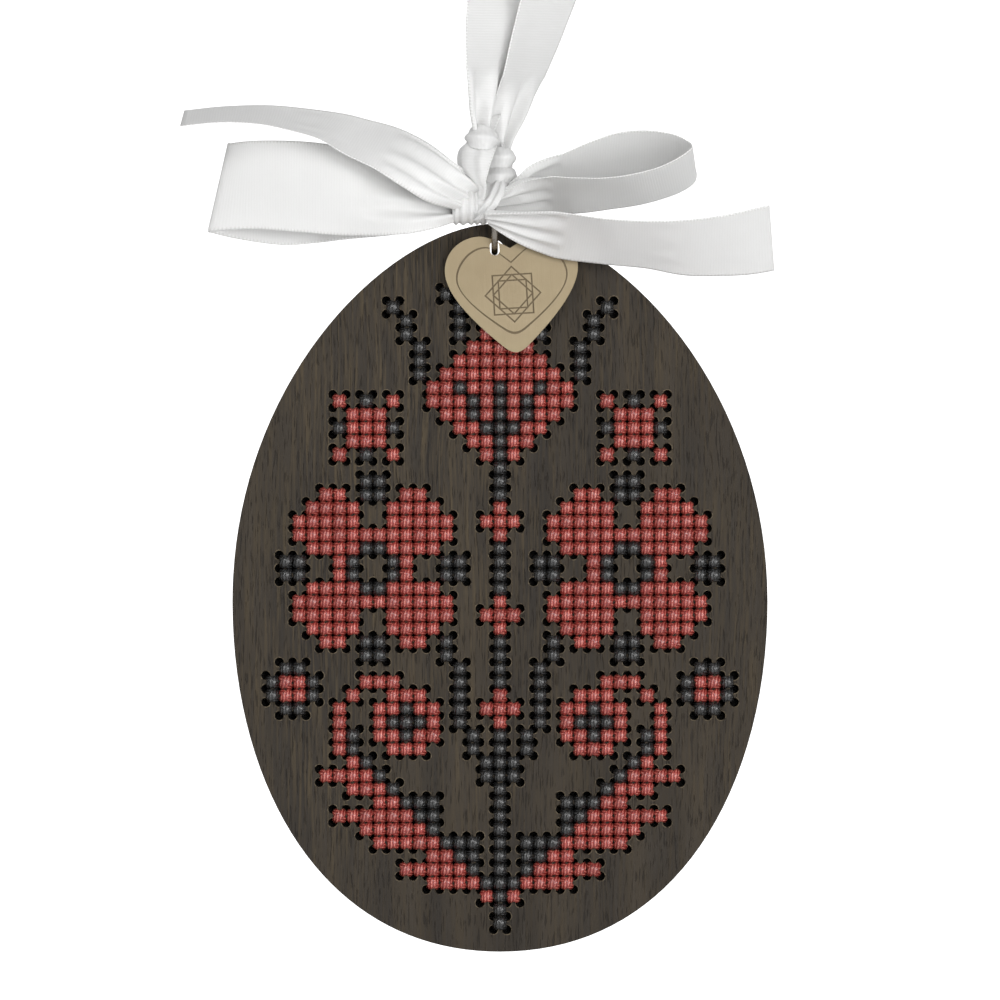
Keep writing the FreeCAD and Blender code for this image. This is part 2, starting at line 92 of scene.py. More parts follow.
class Graph:
    """A short way to build a material's nodes."""

    def __init__(self, name: str) -> None:
        """Make a material with a Principled shader.

        Args:
            name: The material's name.
        """
        self.material = bpy.data.materials.new(name)
        self.material.use_nodes = True
        self.tree = self.material.node_tree
        self.shader = self.tree.nodes["Principled BSDF"]
        self.object_coords = self.add("ShaderNodeTexCoord").outputs["Object"]

    def add(self, kind: str, **settings: object) -> bpy.types.Node:
        """Add a node.

        Args:
            kind: The node's type name.
            settings: Properties to set on it.

        Returns:
            The new node.
        """
        node = self.tree.nodes.new(kind)
        for key, value in settings.items():
            setattr(node, key, value)
        return node

    def plug(self, socket: bpy.types.NodeSocket, value: object) -> None:
        """Join a value or an output to an input.

        Args:
            socket: The input.
            value: An output socket, a number or a tuple.
        """
        if isinstance(value, bpy.types.NodeSocket):
            self.tree.links.new(value, socket)
        else:
            socket.default_value = value

    def math(self, operation: str, *values: object) -> bpy.types.NodeSocket:
        """Add a math node.

        Args:
            operation: Its operation.
            values: Its inputs, each a number or an output socket.

        Returns:
            Its output.
        """
        node = self.add("ShaderNodeMath", operation=operation)
        for socket, value in zip(node.inputs, values):
            self.plug(socket, value)
        return node.outputs[0]

    def stretch(self, vector: bpy.types.NodeSocket, scale: Sequence[float]) -> bpy.types.NodeSocket:
        """Scale coordinates along each axis.

        Args:
            vector: The coordinates.
            scale: The factor along X, Y and Z.

        Returns:
            The scaled coordinates.
        """
        node = self.add("ShaderNodeVectorMath", operation="MULTIPLY")
        self.plug(node.inputs[0], vector)
        node.inputs[1].default_value = scale
        return node.outputs[0]

    def noise(
        self, vector: bpy.types.NodeSocket, scale: float, detail: float = 3.0, warp: float = 0.0
    ) -> bpy.types.NodeSocket:
        """Add a noise texture.

        Args:
            vector: Its coordinates.
            scale: Its scale.
            detail: Its detail.
            warp: Its distortion.

        Returns:
            Its value.
        """
        node = self.add("ShaderNodeTexNoise")
        self.plug(node.inputs["Vector"], vector)
        node.inputs["Scale"].default_value = scale
        node.inputs["Detail"].default_value = detail
        node.inputs["Distortion"].default_value = warp
        return node.outputs["Fac"]

    def span(
        self, value: bpy.types.NodeSocket, low: float, high: float, to: tuple = (0.0, 1.0)
    ) -> bpy.types.NodeSocket:
        """Map a range onto another, clamped.

        Args:
            value: The value to map.
            low: Its low end.
            high: Its high end.
            to: The range it becomes.

        Returns:
            The mapped value.
        """
        node = self.add("ShaderNodeMapRange")
        for socket, item in zip(node.inputs, (value, low, high, *to)):
            self.plug(socket, item)
        return node.outputs["Result"]

    def mix(self, share: object, first: object, second: object) -> bpy.types.NodeSocket:
        """Mix two colours.

        Args:
            share: How much of the second, a number or an output socket.
            first: The first colour.
            second: The second colour.

        Returns:
            The mixed colour.
        """
        node = self.add("ShaderNodeMix", data_type="RGBA")
        for name, item in (("Factor_Float", share), ("A_Color", first), ("B_Color", second)):
            socket = next(s for s in node.inputs if s.identifier == name)
            self.plug(socket, (*item, 1.0) if isinstance(item, tuple) else item)
        return next(s for s in node.outputs if s.identifier == "Result_Color")

    def attribute(self, name: str) -> bpy.types.NodeSocket:
        """Read a number stored on the mesh.

        Args:
            name: The attribute's name.

        Returns:
            Its value.
        """
        return self.add("ShaderNodeAttribute", attribute_name=name).outputs["Fac"]

    def uv(self) -> tuple[bpy.types.NodeSocket, bpy.types.NodeSocket]:
        """Read the mesh's own flat coordinates.

        Returns:
            The two coordinates, in millimetres.
        """
        node = self.add("ShaderNodeUVMap", uv_map="flat")
        across, along, _ = self.axes(node.outputs["UV"])
        return across, along

    def axes(self, vector: bpy.types.NodeSocket) -> Sequence[bpy.types.NodeSocket]:
        """Split coordinates into X, Y and Z.

        Args:
            vector: The coordinates.

        Returns:
            The three numbers.
        """
        node = self.add("ShaderNodeSeparateXYZ")
        self.plug(node.inputs[0], vector)
        return node.outputs

    def bump(self, height: bpy.types.NodeSocket, depth: float, strength: float = 1.0) -> None:
        """Give the shader a bumpy normal.

        Args:
            height: The height from 0 to 1.
            depth: What a height of 1 stands for, in metres.
            strength: How strongly it shows.
        """
        node = self.add("ShaderNodeBump")
        node.inputs["Strength"].default_value = strength
        node.inputs["Distance"].default_value = depth
        self.plug(node.inputs["Height"], height)
        self.plug(self.shader.inputs["Normal"], node.outputs["Normal"])

    def finish(self, **inputs: object) -> bpy.types.Material:
        """Set the shader's inputs.

        Args:
            inputs: Input names, with underscores for spaces, and their values.

        Returns:
            The finished material.
        """
        for key, item in inputs.items():
            socket = self.shader.inputs[key.replace("_", " ")]
            is_colour = isinstance(item, tuple) and socket.type == "RGBA"
            self.plug(socket, (*item, 1.0) if is_colour else item)
        return self.material


@dataclass(frozen=True)
class StainedPlywood:
    """Thin dark-stained plywood with upright grain, open pores and a layered edge."""

    mid: Colour = linear(56, 48, 37)
    dark: Colour = linear(38, 32, 25)
    pale: Colour = linear(90, 78, 58)
    pore: Colour = linear(20, 16, 12)
    ply: Colour = linear(92, 74, 52)
    roughness: float = 0.62

    def build(self) -> bpy.types.Material:
        """Build the material.

        Returns:
            The material.
        """
        graph = Graph("stained_plywood")
        coords = graph.object_coords
        wave = graph.noise(graph.stretch(coords, (1.0, 0.3, 0.35)), 38.0, 2.0, 0.6)
        bend = graph.add("ShaderNodeVectorMath", operation="MULTIPLY_ADD")
        graph.plug(bend.inputs[0], wave)
        bend.inputs[1].default_value = (0.004, 0.0, 0.0)
        graph.plug(bend.inputs[2], coords)
        bent = bend.outputs[0]
        broad = graph.noise(graph.stretch(bent, (1.0, 0.3, 0.07)), 160.0, 4.0)
        fine = graph.noise(graph.stretch(bent, (1.0, 0.3, 0.035)), 2400.0, 4.0, 0.2)
        patch = graph.noise(graph.stretch(coords, (1.0, 1.0, 0.5)), 28.0, 2.0)
        colour = graph.mix(graph.span(broad, 0.36, 0.64), self.dark, self.mid)
        streak = graph.math("MULTIPLY", graph.span(fine, 0.46, 0.72), graph.span(patch, 0.3, 0.75))
        colour = graph.mix(streak, colour, self.pale)
        pores = graph.noise(graph.stretch(bent, (1.0, 0.5, 0.08)), 4200.0, 2.0)
        pore = graph.span(pores, 0.58, 0.68)
        colour = graph.mix(graph.math("MULTIPLY", pore, 0.6), colour, self.pore)
        facing = graph.axes(graph.add("ShaderNodeNewGeometry").outputs["True Normal"])[1]
        edge = graph.span(graph.math("ABSOLUTE", facing), 0.4, 0.7, (1.0, 0.0))
        across = graph.math("ABSOLUTE", graph.axes(coords)[1])
        core = graph.span(across, 0.00048, 0.00056, (0.55, 0.0))
        ply = graph.mix(core, self.ply, self.pore)
        colour = graph.mix(edge, colour, ply)
        raised, sunk = graph.math("MULTIPLY", fine, 0.5), graph.math("MULTIPLY", pore, 0.6)
        graph.bump(graph.math("SUBTRACT", raised, sunk), 0.00018, 0.8)
        return graph.finish(
            Base_Color=colour,
            Roughness=graph.span(fine, 0.3, 0.7, (self.roughness - 0.08, self.roughness + 0.14)),
            Specular_IOR_Level=0.32,
        )


@dataclass(frozen=True)
class HoleRim:
    """The paler, slightly fuzzy wood at the rim of a small hole."""

    pale: Colour = linear(108, 97, 80)
    dark: Colour = linear(40, 34, 28)

    def build(self) -> bpy.types.Material:
        """Build the material.

        Returns:
            The material.
        """
        graph = Graph("hole_rim")
        grain = graph.noise(graph.object_coords, 2400.0, 3.0)
        colour = graph.mix(graph.span(grain, 0.35, 0.65), self.dark, self.pale)
        graph.bump(grain, 0.0001)
        return graph.finish(Base_Color=colour, Roughness=0.8, Specular_IOR_Level=0.2)


@dataclass(frozen=True)
class Floss:
    """Six-strand cotton floss of one colour, its strands lying side by side, with painted shade between
    them and painted highlights on them.
    """

    name: str
    mid: Colour
    # Painted shade in the grooves between strands; also the random darker tone of some stitches.
    dark: Colour
    # Painted highlight on the strands' crests; also the sheen tint.
    light: Colour
    strands: float = 6.0

    def build(self) -> bpy.types.Material:
        """Build the material.

        Returns:
            The material.
        """
        graph = Graph(self.name)
        around, along = graph.uv()
        twist = graph.math("MULTIPLY_ADD", along, 0.22, around)
        fuzz = graph.noise(graph.object_coords, 5200.0, 3.0)
        twist = graph.math("MULTIPLY_ADD", fuzz, 0.05, twist)
        wave = graph.math("SINE", graph.math("MULTIPLY", twist, self.strands * math.tau))
        strand = graph.span(wave, -1.0, 1.0)
        tone = graph.attribute("tone")
        # Painted shade: the grooves between strands run towards the dark colour.
        colour = graph.mix(graph.span(strand, -0.6, 0.7), self.dark, self.mid)
        # Painted highlight: the strands' crests, in noisy patches, run towards the light colour.
        light = graph.math("MULTIPLY", graph.span(strand, 0.55, 1.0), graph.span(fuzz, 0.38, 0.6))
        colour = graph.mix(graph.math("MULTIPLY", light, 0.85), colour, self.light)
        # Random per-stitch darker tone, towards the same dark colour.
        colour = graph.mix(graph.math("MULTIPLY", tone, 0.4), colour, self.dark)
        graph.bump(graph.math("MULTIPLY_ADD", fuzz, 0.6, strand), 0.00007, 0.8)
        return graph.finish(
            Base_Color=colour,
            Roughness=graph.span(fuzz, 0.35, 0.65, (0.22, 0.36)),
            Specular_IOR_Level=0.9,
            Sheen_Weight=0.1,
            Sheen_Roughness=0.4,
            Sheen_Tint=self.light,
        )


@dataclass(frozen=True)
class Satin:
    """White satin ribbon: fine ribs across, a woven edge along both sides."""

    face: Colour = linear(235, 235, 234)
    shade: Colour = linear(223, 223, 221)
    dashes: Colour = linear(170, 166, 160)
    rib_pitch: float = 0.4
    edge_width: float = 0.4
    dash_pitch: float = 0.5

    def build(self) -> bpy.types.Material:
        """Build the material.

        Returns:
            The material.
        """
        graph = Graph("white_satin")
        across, along = graph.uv()
        fuzz = graph.noise(graph.object_coords, 900.0, 4.0)
        wander = graph.math("MULTIPLY_ADD", fuzz, 0.12, along)
        rib = graph.math("SINE", graph.math("MULTIPLY", wander, math.tau / self.rib_pitch))
        rib = graph.span(rib, -1.0, 1.0)
        inner = RIBBON_W / 2 - self.edge_width
        edge = graph.span(graph.math("ABSOLUTE", across), inner - 0.1, inner + 0.1)
        dash = graph.math("SINE", graph.math("MULTIPLY", along, math.tau / self.dash_pitch))
        dash = graph.math("MULTIPLY", graph.span(dash, -0.2, 0.5), edge)
        colour = graph.mix(graph.math("MULTIPLY", rib, 0.25), self.face, self.shade)
        colour = graph.mix(graph.math("MULTIPLY", dash, 0.22), colour, self.dashes)
        height = graph.math("MULTIPLY_ADD", edge, 1.5, graph.math("MULTIPLY_ADD", fuzz, 0.4, rib))
        height = graph.math("SUBTRACT", height, dash)
        graph.bump(height, 0.00002, 0.5)
        return graph.finish(
            Base_Color=colour,
            Roughness=graph.span(rib, 0.0, 1.0, (0.34, 0.44)),
            Specular_IOR_Level=0.45,
            Subsurface_Weight=0.5,
            Subsurface_Radius=(0.6, 0.6, 0.6),
            Subsurface_Scale=0.0008,
            Sheen_Weight=0.15,
        )


@dataclass(frozen=True)
class PaleGold:
    """The tag's pale gold sheet with a brushed face."""

    face: Colour = linear(156, 141, 111)
    deep: Colour = linear(141, 125, 96)
    engraved: Colour = linear(96, 80, 55)
    front: float = -0.0034

    def build(self) -> bpy.types.Material:
        """Build the material.

        Returns:
            The material.
        """
        graph = Graph("pale_gold")
        coords = graph.object_coords
        brush = graph.noise(graph.stretch(coords, (1.0, 1.0, 0.06)), 4200.0, 3.0)
        cloud = graph.noise(coords, 160.0, 2.0)
        sunk = graph.span(graph.axes(coords)[1], self.front + 0.00004, self.front + 0.00014)
        colour = graph.mix(graph.span(cloud, 0.3, 0.7), self.deep, self.face)
        colour = graph.mix(0.45, colour, self.face)
        colour = graph.mix(graph.math("MULTIPLY", sunk, 0.8), colour, self.engraved)
        graph.bump(brush, 0.00002, 0.5)
        return graph.finish(
            Base_Color=colour,
            Metallic=0.25,
            Roughness=graph.span(brush, 0.3, 0.7, (0.34, 0.5)),
        )


@dataclass(frozen=True)
class BlackFeltPaintedShade:
    """Black wool felt: matted fibres with a little grey lint; a guessed backing whose black is painted
    shade seen through the holes.
    """

    # Painted shade: the near-black seen through every hole.
    face: Colour = linear(26, 24, 22)
    lint: Colour = linear(62, 58, 54)

    def build(self) -> bpy.types.Material:
        """Build the material.

        Returns:
            The material.
        """
        graph = Graph("black_felt_painted_shade")
        mat = graph.noise(graph.object_coords, 1400.0, 6.0, 1.2)
        fibre = graph.noise(graph.object_coords, 5200.0, 4.0, 2.5)
        colour = graph.mix(graph.span(fibre, 0.5, 0.75), self.face, self.lint)
        graph.bump(graph.math("MULTIPLY_ADD", mat, 1.5, fibre), 0.00025, 0.8)
        return graph.finish(Base_Color=colour, Roughness=0.95, Sheen_Weight=0.1)


@dataclass(frozen=True)
class PlatedWire:
    """Bright plated wire with faint drawing lines."""

    face: Colour = linear(158, 152, 143)
    dull: Colour = linear(108, 100, 88)

    def build(self) -> bpy.types.Material:
        """Build the material.

        Returns:
            The material.
        """
        graph = Graph("plated_wire")
        coords = graph.object_coords
        lines = graph.noise(graph.stretch(coords, (1.0, 0.2, 0.2)), 9000.0, 2.0)
        smut = graph.noise(coords, 1400.0, 3.0)
        colour = graph.mix(graph.span(smut, 0.5, 0.75), self.face, self.dull)
        graph.bump(lines, 0.00001, 0.5)
        return graph.finish(
            Base_Color=colour,
            Metallic=1.0,
            Roughness=graph.span(smut, 0.3, 0.7, (0.18, 0.34)),
        )


@dataclass(frozen=True)
class PalePaper:
    """The plain pale floor and backdrop."""

    face: Colour = (0.93, 0.93, 0.93)
    grey: Colour = (0.88, 0.88, 0.88)
    glow_from: float = 5.0

    def build(self) -> bpy.types.Material:
        """Build the material.

        Returns:
            The material.
        """
        graph = Graph("pale_paper")
        grain = graph.noise(graph.object_coords, 60.0, 4.0)
        colour = graph.mix(graph.math("MULTIPLY", grain, 0.02), self.face, self.grey)
        graph.shader.inputs["Emission Color"].default_value = (1.0, 1.0, 1.0, 1.0)
        rearward = graph.axes(graph.object_coords)[1]
        glow = graph.span(rearward, self.glow_from, self.glow_from + 0.1, (0.0, 1.1))
        return graph.finish(Base_Color=colour, Roughness=0.95, Emission_Strength=glow)


# ---- mesh building -----------------------------------------------------------------------


def mesh_object(
    name: str,
    points: Iterable[Vector],
    faces: Iterable[Sequence[int]],
    uvs: Sequence[tuple[float, float]] | None = None,
) -> bpy.types.Object:
    """Make a mesh object from points in millimetres.

    Args:
        name: The object's name.
        points: The vertices, in millimetres in the model's frame.
        faces: The vertex numbers of every face.
        uvs: Flat coordinates, one for every vertex.

    Returns:
        The object, linked to the scene, its faces smooth.
    """
    mesh = bpy.data.meshes.new(name)
    mesh.from_pydata([tuple(point * MM) for point in points], [], [tuple(f) for f in faces])
    if uvs is not None:
        layer = mesh.uv_layers.new(name="flat")
        for loop in mesh.loops:
            layer.data[loop.index].uv = uvs[loop.vertex_index]
    mesh.polygons.foreach_set("use_smooth", [True] * len(mesh.polygons))
    mesh.update()
    thing = bpy.data.objects.new(name, mesh)
    bpy.context.scene.collection.objects.link(thing)
    return thing


def tube_faces(rings: int, around: int, capped: bool = True) -> list[tuple[int, ...]]:
    """List the faces of a tube of rings.

    Args:
        rings: How many rings there are.
        around: How many vertices each has.
        capped: Whether the ends are closed.

    Returns:
        The vertex numbers of every face, facing outward.
    """
    faces = []
    for ring in range(rings - 1):
        for step in range(around):
            a = ring * around + step
            b = ring * around + (step + 1) % around
            faces.append((a, a + around, b + around, b))
    if capped:
        faces.append(tuple(range(around)))
        faces.append(tuple(reversed(range((rings - 1) * around, rings * around))))
    return faces


def spline(points: Sequence[Vector], share: float) -> Vector:
    """Find a point on a smooth curve through others, evenly spaced in number.

    Args:
        points: The points it passes through.
        share: How far along, from 0 to 1.

    Returns:
        The point.
    """
    place = min(max(share, 0.0), 1.0) * (len(points) - 1)
    first = min(int(place), len(points) - 2)
    t = place - first
    b, c = points[first], points[first + 1]
    a = points[first - 1] if first > 0 else b * 2 - c
    d = points[first + 2] if first + 2 < len(points) else c * 2 - b
    out = (c - a) * 0.5
    into = (d - b) * 0.5
    return (
        b * (2 * t ** 3 - 3 * t ** 2 + 1)
        + out * (t ** 3 - 2 * t ** 2 + t)
        + c * (-2 * t ** 3 + 3 * t ** 2)
        + into * (t ** 3 - t ** 2)
    )


@dataclass
class Rung:
    """One place along a ribbon: its two edges as seen from the front, and their depth.

    Places are in millimetres, from the bow's centre, right and up. The edges' difference in
    depth follows from the ribbon's width at this place.
    """

    top: tuple[float, float]
    bottom: tuple[float, float]
    depth: float
    width: float = RIBBON_W
    cup: float = 0.0

    def edges(self, origin: Vector, near: Near) -> tuple[Vector, Vector]:
        """Work out both edges in the model's frame.

        Args:
            origin: The bow's centre.
            near: The edge that lies nearer to the viewer.

        Returns:
            The top and the bottom edge.
        """
        seen = math.hypot(self.top[0] - self.bottom[0], self.top[1] - self.bottom[1])
        half = math.sqrt(max(self.width ** 2 - seen ** 2, 0.0)) / 2 * near.value
        top = Vector((self.top[0], self.depth + half, self.top[1]))
        bottom = Vector((self.bottom[0], self.depth - half, self.bottom[1]))
        return origin + top, origin + bottom


@dataclass
class Strip:
    """A length of ribbon through rungs, pleated wherever it is gathered narrower."""

    rungs: list[Rung]
    near: Near = Near.BOTTOM
    pleats: int = 3
    phase: float = 0.0
    fold: float = 0.9
    steps: int = 7
    across: int = 40

    def lay(self, origin: Vector) -> tuple[list[Vector], list[tuple[float, float]], float]:
        """Lay the strip's middle surface.

        Args:
            origin: The bow's centre.

        Returns:
            Its points row by row, their flat coordinates, and its length in millimetres.
        """
        pairs = [rung.edges(origin, self.near) for rung in self.rungs]
        cups = [Vector((rung.cup, 0.0, 0.0)) for rung in self.rungs]
        rows = (len(self.rungs) - 1) * self.steps + 1
        tops = [spline([pair[0] for pair in pairs], r / (rows - 1)) for r in range(rows)]
        lows = [spline([pair[1] for pair in pairs], r / (rows - 1)) for r in range(rows)]
        middle = [(a + b) / 2 for a, b in zip(tops, lows)]
        sheet, uvs, gone = [], [], 0.0
        for row in range(rows):
            before, after = middle[max(row - 1, 0)], middle[min(row + 1, rows - 1)]
            side = lows[row] - tops[row]
            normal = side.cross(after - before).normalized()
            slack = max(RIBBON_W / max(side.length, 0.5) - 1.0, 0.0)
            wave = side.length / (math.pi * self.pleats) * math.sqrt(min(slack, 4.0)) * self.fold
            bulge = spline(cups, row / (rows - 1)).x
            gone += (middle[row] - middle[row - 1]).length if row else 0.0
            for step in range(self.across + 1):
                t = step / self.across
                turn = math.tau * self.pleats * (t + 0.03 * math.sin(9.0 * t)) + self.phase
                rise = wave * math.sin(turn) + bulge * (1 - (2 * t - 1) ** 2)
                sheet.append(tops[row] + side * t + normal * rise)
                uvs.append(((t - 0.5) * RIBBON_W, gone))
        return sheet, uvs, gone

    def shell(self, sheet: list[Vector]) -> tuple[list[Vector], list[tuple[int, ...]]]:
        """Give the middle surface its two faces and its rim.

        Args:
            sheet: Its points, row by row.

        Returns:
            The points of both faces, and the faces.
        """
        line = self.across + 1
        count = len(sheet)
        rows = count // line
        normals = []
        for index in range(count):
            row, step = divmod(index, line)
            up = sheet[min(row + 1, rows - 1) * line + step] - sheet[max(row - 1, 0) * line + step]
            over = sheet[row * line + min(step + 1, line - 1)] - sheet[row * line + max(step - 1, 0)]
            normals.append(over.cross(up).normalized() * (RIBBON_T / 2))
        points = [p + n for p, n in zip(sheet, normals)] + [p - n for p, n in zip(sheet, normals)]
        faces = []
        for row in range(rows - 1):
            for step in range(line - 1):
                a, b = row * line + step, row * line + step + 1
                c, d = b + line, a + line
                faces.append((a, b, c, d))
                faces.append((d + count, c + count, b + count, a + count))
        rim = list(range(line))
        rim += [row * line + line - 1 for row in range(1, rows)]
        rim += [(rows - 1) * line + step for step in range(line - 2, -1, -1)]
        rim += [row * line for row in range(rows - 2, 0, -1)]
        for first, second in zip(rim, rim[1:] + rim[:1]):
            faces.append((second, first, first + count, second + count))
        return points, faces


@dataclass
class Ribbon:
    """One visible piece of the ribbon: a strip, or strips that lie together in a knot."""

    name: str
    stands_for: str
    held: Held
    strips: list[Strip]
    rests_on: str = "bow_knot"

    def build(self, origin: Vector, material: bpy.types.Material) -> bpy.types.Object:
        """Build the piece as one thin closed mesh on the ribbon's body.

        Args:
            origin: The bow's centre.
            material: Its material.

        Returns:
            The piece.
        """
        points, faces, uvs, length = [], [], [], 0.0
        for strip in self.strips:
            sheet, flat, gone = strip.lay(origin)
            shell, sides = strip.shell(sheet)
            faces += [tuple(len(points) + index for index in side) for side in sides]
            points += shell
            uvs += flat + flat
            length += gone
        piece = mesh_object(self.name, points, faces, uvs)
        if len(self.strips) > 1:
            area = sum(face.area for face in piece.data.polygons) / 2
            length = area / (RIBBON_W * MM) / MM
        piece.data.materials.append(material)
        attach(piece, "ribbon")
        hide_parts(self.stands_for)
        LOG.info("%s is cut %.0f by %.1f mm", self.name, RIBBON_W, length)
        return piece


# ---- floss and hole rims, repeated with geometry nodes -----------------------------------


@dataclass
class Scatter:
    """Repeats one small mesh at points, with small fixed-seed changes to each copy."""

    name: str
    seed: int
    lean: float = 0.1
    swell: float = 0.06

    def tree(self) -> bpy.types.NodeTree:
        """Build the node tree.

        Returns:
            The tree, with named inputs.
        """
        tree = bpy.data.node_groups.new(self.name, "GeometryNodeTree")
        face = tree.interface
        for name, kind in (
            ("Geometry", "Geometry"),
            ("Copy", "Object"),
            ("Finish", "Material"),
            ("Seed", "Int"),
            ("Lean", "Float"),
            ("Swell", "Float"),
        ):
            face.new_socket(name, in_out="INPUT", socket_type="NodeSocket" + kind)
        face.new_socket("Geometry", in_out="OUTPUT", socket_type="NodeSocketGeometry")
        nodes, link = tree.nodes, tree.links.new
        given = nodes.new("NodeGroupInput").outputs
        info = nodes.new("GeometryNodeObjectInfo")
        link(given["Copy"], info.inputs["Object"])
        turn = self.random(tree, given["Lean"], given["Seed"], 0.0)
        axis = nodes.new("ShaderNodeCombineXYZ")
        link(turn, axis.inputs["Y"])
        size = self.random(tree, given["Swell"], given["Seed"], 1.0)
        put = nodes.new("GeometryNodeInstanceOnPoints")
        link(given["Geometry"], put.inputs["Points"])
        link(info.outputs["Geometry"], put.inputs["Instance"])
        link(axis.outputs[0], put.inputs["Rotation"])
        link(size, put.inputs["Scale"])
        tone = nodes.new("FunctionNodeRandomValue")
        link(given["Seed"], tone.inputs["Seed"])
        store = nodes.new("GeometryNodeStoreNamedAttribute")
        store.data_type = "FLOAT"
        store.domain = "INSTANCE"
        store.inputs["Name"].default_value = "tone"
        link(put.outputs[0], store.inputs["Geometry"])
        link(tone.outputs[1], store.inputs["Value"])
        real = nodes.new("GeometryNodeRealizeInstances")
        link(store.outputs[0], real.inputs[0])
        paint = nodes.new("GeometryNodeSetMaterial")
        link(real.outputs[0], paint.inputs["Geometry"])
        link(given["Finish"], paint.inputs["Material"])
        link(paint.outputs[0], nodes.new("NodeGroupOutput").inputs[0])
        return tree

    def random(
        self,
        tree: bpy.types.NodeTree,
        spread: bpy.types.NodeSocket,
        seed: bpy.types.NodeSocket,
        centre: float,
    ) -> bpy.types.NodeSocket:
        """Add a random number around a centre.

        Args:
            tree: The node tree.
            spread: How far it strays.
            seed: Its seed.
            centre: Its middle value.

        Returns:
            The number.
        """
        pick = tree.nodes.new("FunctionNodeRandomValue")
        pick.inputs[2].default_value = -1.0
        pick.inputs[3].default_value = 1.0
        tree.links.new(seed, pick.inputs["Seed"])
        node = tree.nodes.new("ShaderNodeMath")
        node.operation = "MULTIPLY_ADD"
        tree.links.new(pick.outputs[1], node.inputs[0])
        tree.links.new(spread, node.inputs[1])
        node.inputs[2].default_value = centre
        return node.outputs[0]

    def build(
        self, points: list[Vector], copy: bpy.types.Object, material: bpy.types.Material
    ) -> bpy.types.Object:
        """Build the repeated mesh.

        Args:
            points: Where each copy goes, in millimetres.
            copy: The mesh to repeat.
            material: Its material.

        Returns:
            One mesh object holding every copy.
        """
        seat = mesh_object(self.name + "_points", points, [])
        modifier = seat.modifiers.new("scatter", "NODES")
        tree = self.tree()
        modifier.node_group = tree
        values = {
            "Copy": copy,
            "Finish": material,
            "Seed": self.seed,
            "Lean": self.lean,
            "Swell": self.swell,
        }
        for item in tree.interface.items_tree:
            if item.in_out == "INPUT" and item.name in values:
                modifier[item.identifier] = values[item.name]
        graph = bpy.context.evaluated_depsgraph_get()
        mesh = bpy.data.meshes.new_from_object(seat.evaluated_get(graph))
        bpy.data.objects.remove(seat)
        mesh.name = self.name
        piece = bpy.data.objects.new(self.name, mesh)
        bpy.context.scene.collection.objects.link(piece)
        return piece


@dataclass
class CrossStitch:
    """One full cross stitch: an under leg and an over leg, both dipping into the holes."""

    front: float
    reach: float = 1.24
    width: float = 1.3
    height: float = 0.6
    under_lift: float = 0.42
    over_lift: float = 0.66
    dip: float = 1.3
    dip_run: float = 0.3
    waist: float = 0.42
    rings: int = 9
    around: int = 10

    def leg(self, points: list, uvs: list, faces: list, turn: float, lift: float) -> None:
        """Add one leg across the front.

        Args:
            points: The list of points to add to.
            uvs: The list of flat coordinates to add to.
            faces: The list of faces to add to.
            turn: Its direction in degrees from +X towards +Z.
            lift: How far it lies above the board's face.
        """
        start = len(points)
        angle = math.radians(turn)
        along = Vector((math.cos(angle), 0.0, math.sin(angle)))
        side = Vector((-math.sin(angle), 0.0, math.cos(angle)))
        for ring in range(self.rings):
            share = ring / (self.rings - 1) * 2 - 1
            past = max(abs(share) - (1.0 - self.dip_run), 0.0)
            rise = lift * (1 - share ** 2) - self.dip * past / self.dip_run
            narrow = 1.0 - self.waist * share ** 2
            middle = along * (share * self.reach) + Vector((0.0, self.front - rise, 0.0))
            for step in range(self.around):
                spin = math.tau * step / self.around
                wide = math.cos(spin) * self.width / 2 * narrow
                tall = math.sin(spin) * self.height / 2
                points.append(middle + side * wide - Vector((0.0, tall, 0.0)))
                uvs.append((step / self.around if step else 0.0, share * self.reach))
        faces += [
            tuple(start + index for index in face) for face in tube_faces(self.rings, self.around)
        ]

    def build(self) -> bpy.types.Object:
        """Build the stitch centred on the origin.

        Returns:
            The stitch.
        """
        points: list[Vector] = []
        uvs: list[tuple[float, float]] = []
        faces: list[tuple[int, ...]] = []
        self.leg(points, uvs, faces, 135.0, self.under_lift)
        self.leg(points, uvs, faces, 45.0, self.over_lift)
        return mesh_object("one_stitch", points, faces, uvs)


